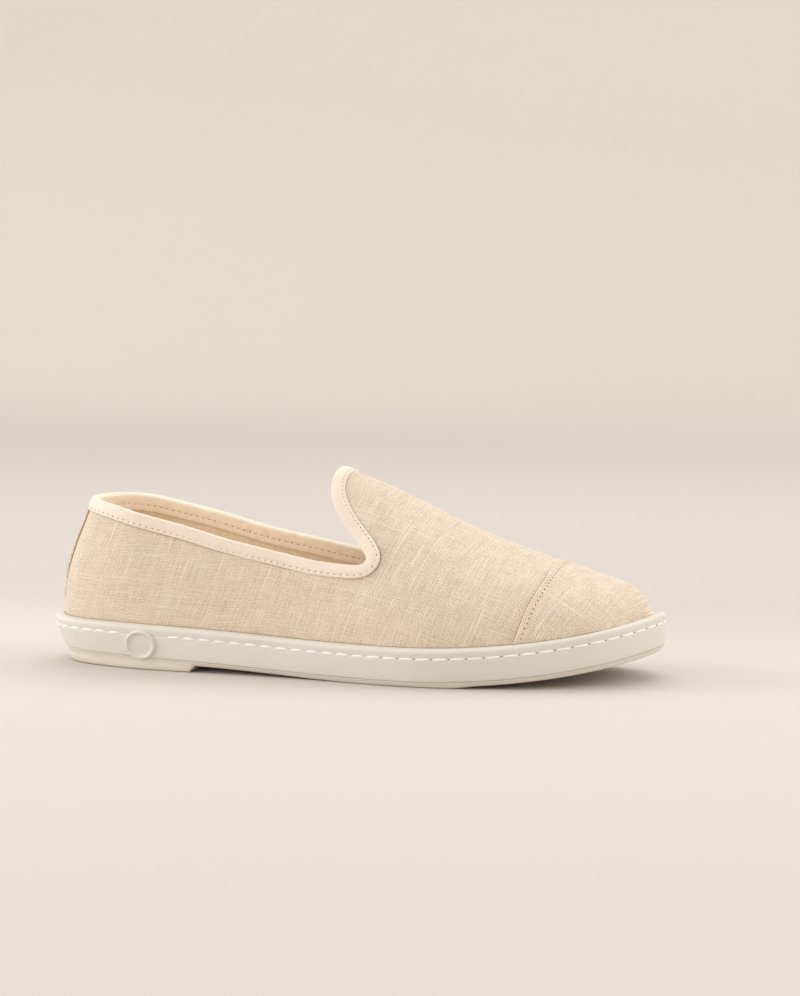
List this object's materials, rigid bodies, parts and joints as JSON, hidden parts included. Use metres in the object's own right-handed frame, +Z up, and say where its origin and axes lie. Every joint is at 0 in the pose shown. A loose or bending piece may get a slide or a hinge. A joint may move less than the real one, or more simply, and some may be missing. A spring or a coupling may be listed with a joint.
{
  "type": "espadrille",
  "caption": "Right-foot slip-on espadrille: hollow linen upper with bound collar, folded toe cap and back strip, on a pale rubber cup sole with a low heel block",
  "frame": {"origin": "floor level under the middle of the shoe's box, shoe standing on its sole", "axes": "+X from heel to toe, +Y to the inner (medial) side of the foot, +Z up"},
  "size_m": [0.2878, 0.0992, 0.092],
  "materials": {
    "outsole_rubber": "matte",
    "sole_rubber": "matte",
    "footbed": "woven cloth over foam",
    "linen": "natural woven linen with slubs",
    "linen_cap": "natural woven linen, weave turned on the bias",
    "linen_strip": "natural woven linen",
    "binding_tape": "smooth cotton tape",
    "badge_rubber": "matte"
  },
  "bodies": {
    "root": {"outsole": "outsole_rubber", "cup_sole": "sole_rubber", "insole": "footbed", "upper": "linen", "toe_cap": "linen_cap", "heel_strip": "linen_strip", "collar_binding": "binding_tape", "side_badge": "badge_rubber"}
  },
  "joints": []
}
